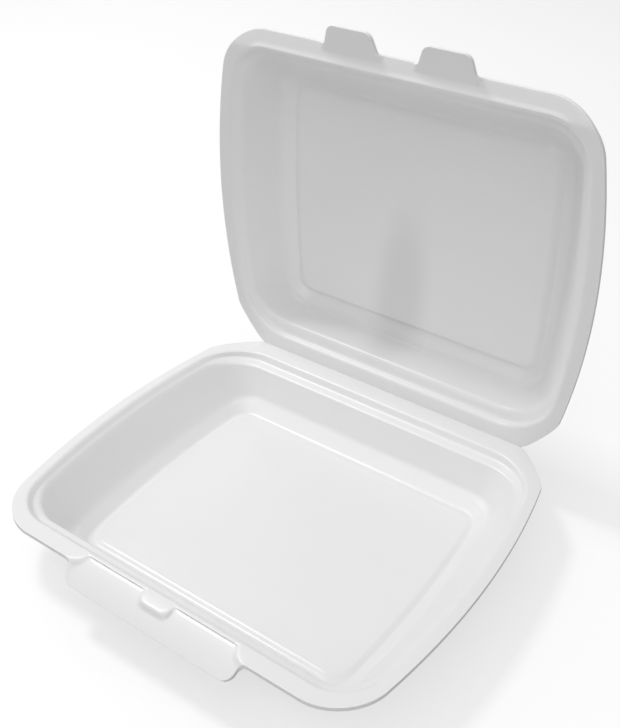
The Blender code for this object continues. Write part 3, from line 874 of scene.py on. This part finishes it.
# Camera at the photo's angle
camera = {
    "azimuth": 35.33,
    "elevation": 32.69,
    "focalPixels": 1034.2,
    "foldAtCamera": (0.0435018, -0.0467623, 0.6136951),
    "axisPixel": (310.1, 311.8),
    "imageSize": (620, 728),
    "sensor": 36.0,
    "clipStart": 0.01,
}


def makeCamera():
    azimuth, elevation = math.radians(camera["azimuth"]), math.radians(camera["elevation"])
    level = math.cos(elevation)
    back = Vector((math.sin(azimuth) * level, -math.cos(azimuth) * level, math.sin(elevation)))
    right = Vector((math.cos(azimuth), math.sin(azimuth), 0.0))
    up = back.cross(right)
    across, above, away = camera["foldAtCamera"]
    rimFold = Vector((0.0, foldY, foldZ - sheet["halfGap"]))
    eye = rimFold - right * across - up * above + back * away
    data = bpy.data.cameras.new("camera")
    width, height = camera["imageSize"]
    data.sensor_width = camera["sensor"]
    data.lens = camera["focalPixels"] * camera["sensor"] / height
    data.shift_x = (width / 2 - camera["axisPixel"][0]) / height
    data.shift_y = (camera["axisPixel"][1] - height / 2) / height
    data.clip_start = camera["clipStart"]
    holder = bpy.data.objects.new("camera", data)
    holder.matrix_world = Matrix((right, up, back)).transposed().to_4x4()
    holder.location = eye
    bpy.context.scene.collection.objects.link(holder)
    bpy.context.scene.camera = holder


# Floor, sky and softboxes
studio = {
    "floorColour": 0.42,      # what the camera sees
    "floorBounce": 0.45,      # what every other ray sees
    "floorGlow": 0.60,        # lifts the floor to near white for the camera alone
    "floorRoughness": 0.9,
    "floorHalf": 4.0,
    "floorDrop": 0.0002,      # gap between box and floor
    "skyLight": 0.31,         # sky strength as a light, and what the camera sees of it
    "skySeen": 1.0,
    "lamps": {                # energy, width and place; all point at the box
        "top": (1.6, 1.5, (0.0, 0.0, 1.5)),
        "key": (7.0, 0.26, (-0.68, 0.0, 1.27)),
        "left": (1.6, 0.9, (-1.2, 0.0, 0.9)),
        "right": (1.1, 0.9, (1.2, 0.0, 0.9)),
        "back": (0.7, 0.9, (0.0, 0.9, 1.2)),
        "backLeft": (1.0, 0.6, (-0.9, 0.8, 0.6)),
        "lowFront": (2.8, 0.9, (0.0, -1.4, 0.6)),
        "frontTop": (1.8, 0.9, (0.0, -0.8, 1.15)),
        "frontRight": (2.4, 0.9, (0.8, -0.9, 1.1)),
    },
    "lampTarget": (0.0, 0.0, 0.08),
}


def makeFloorMaterial():
    material = bpy.data.materials.new("floorPaper")
    material.use_nodes = True
    nodes, links = material.node_tree.nodes, material.node_tree.links
    shader = nodes["Principled BSDF"]
    shader.inputs["Roughness"].default_value = studio["floorRoughness"]
    shader.inputs["Emission Color"].default_value = (1, 1, 1, 1)
    rays = nodes.new("ShaderNodeLightPath")
    colour = nodes.new("ShaderNodeMix")
    colour.data_type = "RGBA"
    colour.inputs["A"].default_value = (*[studio["floorBounce"]] * 3, 1)
    colour.inputs["B"].default_value = (*[studio["floorColour"]] * 3, 1)
    links.new(rays.outputs["Is Camera Ray"], colour.inputs["Factor"])
    links.new(colour.outputs["Result"], shader.inputs["Base Color"])
    glow = nodes.new("ShaderNodeMath")
    glow.operation = "MULTIPLY"
    glow.inputs[1].default_value = studio["floorGlow"]
    links.new(rays.outputs["Is Camera Ray"], glow.inputs[0])
    links.new(glow.outputs[0], shader.inputs["Emission Strength"])
    return material


def makeFloor():
    mesh = bpy.data.meshes.new("floor")
    half = studio["floorHalf"]
    corners = [(-half, -half, 0), (half, -half, 0), (half, half, 0), (-half, half, 0)]
    mesh.from_pydata(corners, [], [(0, 1, 2, 3)])
    floor = bpy.data.objects.new("floor", mesh)
    floor.location = (0.0, 0.0, cadLow.z - studio["floorDrop"])
    bpy.context.scene.collection.objects.link(floor)
    mesh.materials.append(makeFloorMaterial())


def makeSky():
    world = bpy.data.worlds.new("studio")
    world.use_nodes = True
    nodes, links = world.node_tree.nodes, world.node_tree.links
    background = nodes["Background"]
    background.inputs["Color"].default_value = (1, 1, 1, 1)
    rays = nodes.new("ShaderNodeLightPath")
    strength = nodes.new("ShaderNodeMix")
    strength.data_type = "FLOAT"
    strength.inputs["A"].default_value = studio["skyLight"]
    strength.inputs["B"].default_value = studio["skySeen"]
    links.new(rays.outputs["Is Camera Ray"], strength.inputs["Factor"])
    links.new(strength.outputs["Result"], background.inputs["Strength"])
    bpy.context.scene.world = world


def makeLamps():
    for name, (energy, width, place) in studio["lamps"].items():
        lamp = bpy.data.lights.new(name, "AREA")
        lamp.energy = energy
        lamp.size = width
        holder = bpy.data.objects.new(name, lamp)
        holder.location = place
        holder.rotation_mode = "QUATERNION"
        holder.rotation_quaternion = (Vector(studio["lampTarget"]) - Vector(place)).to_track_quat("-Z", "Y")
        bpy.context.scene.collection.objects.link(holder)


makeCamera()
makeFloor()
makeSky()
makeLamps()
bpy.context.scene.view_settings.view_transform = "Standard"
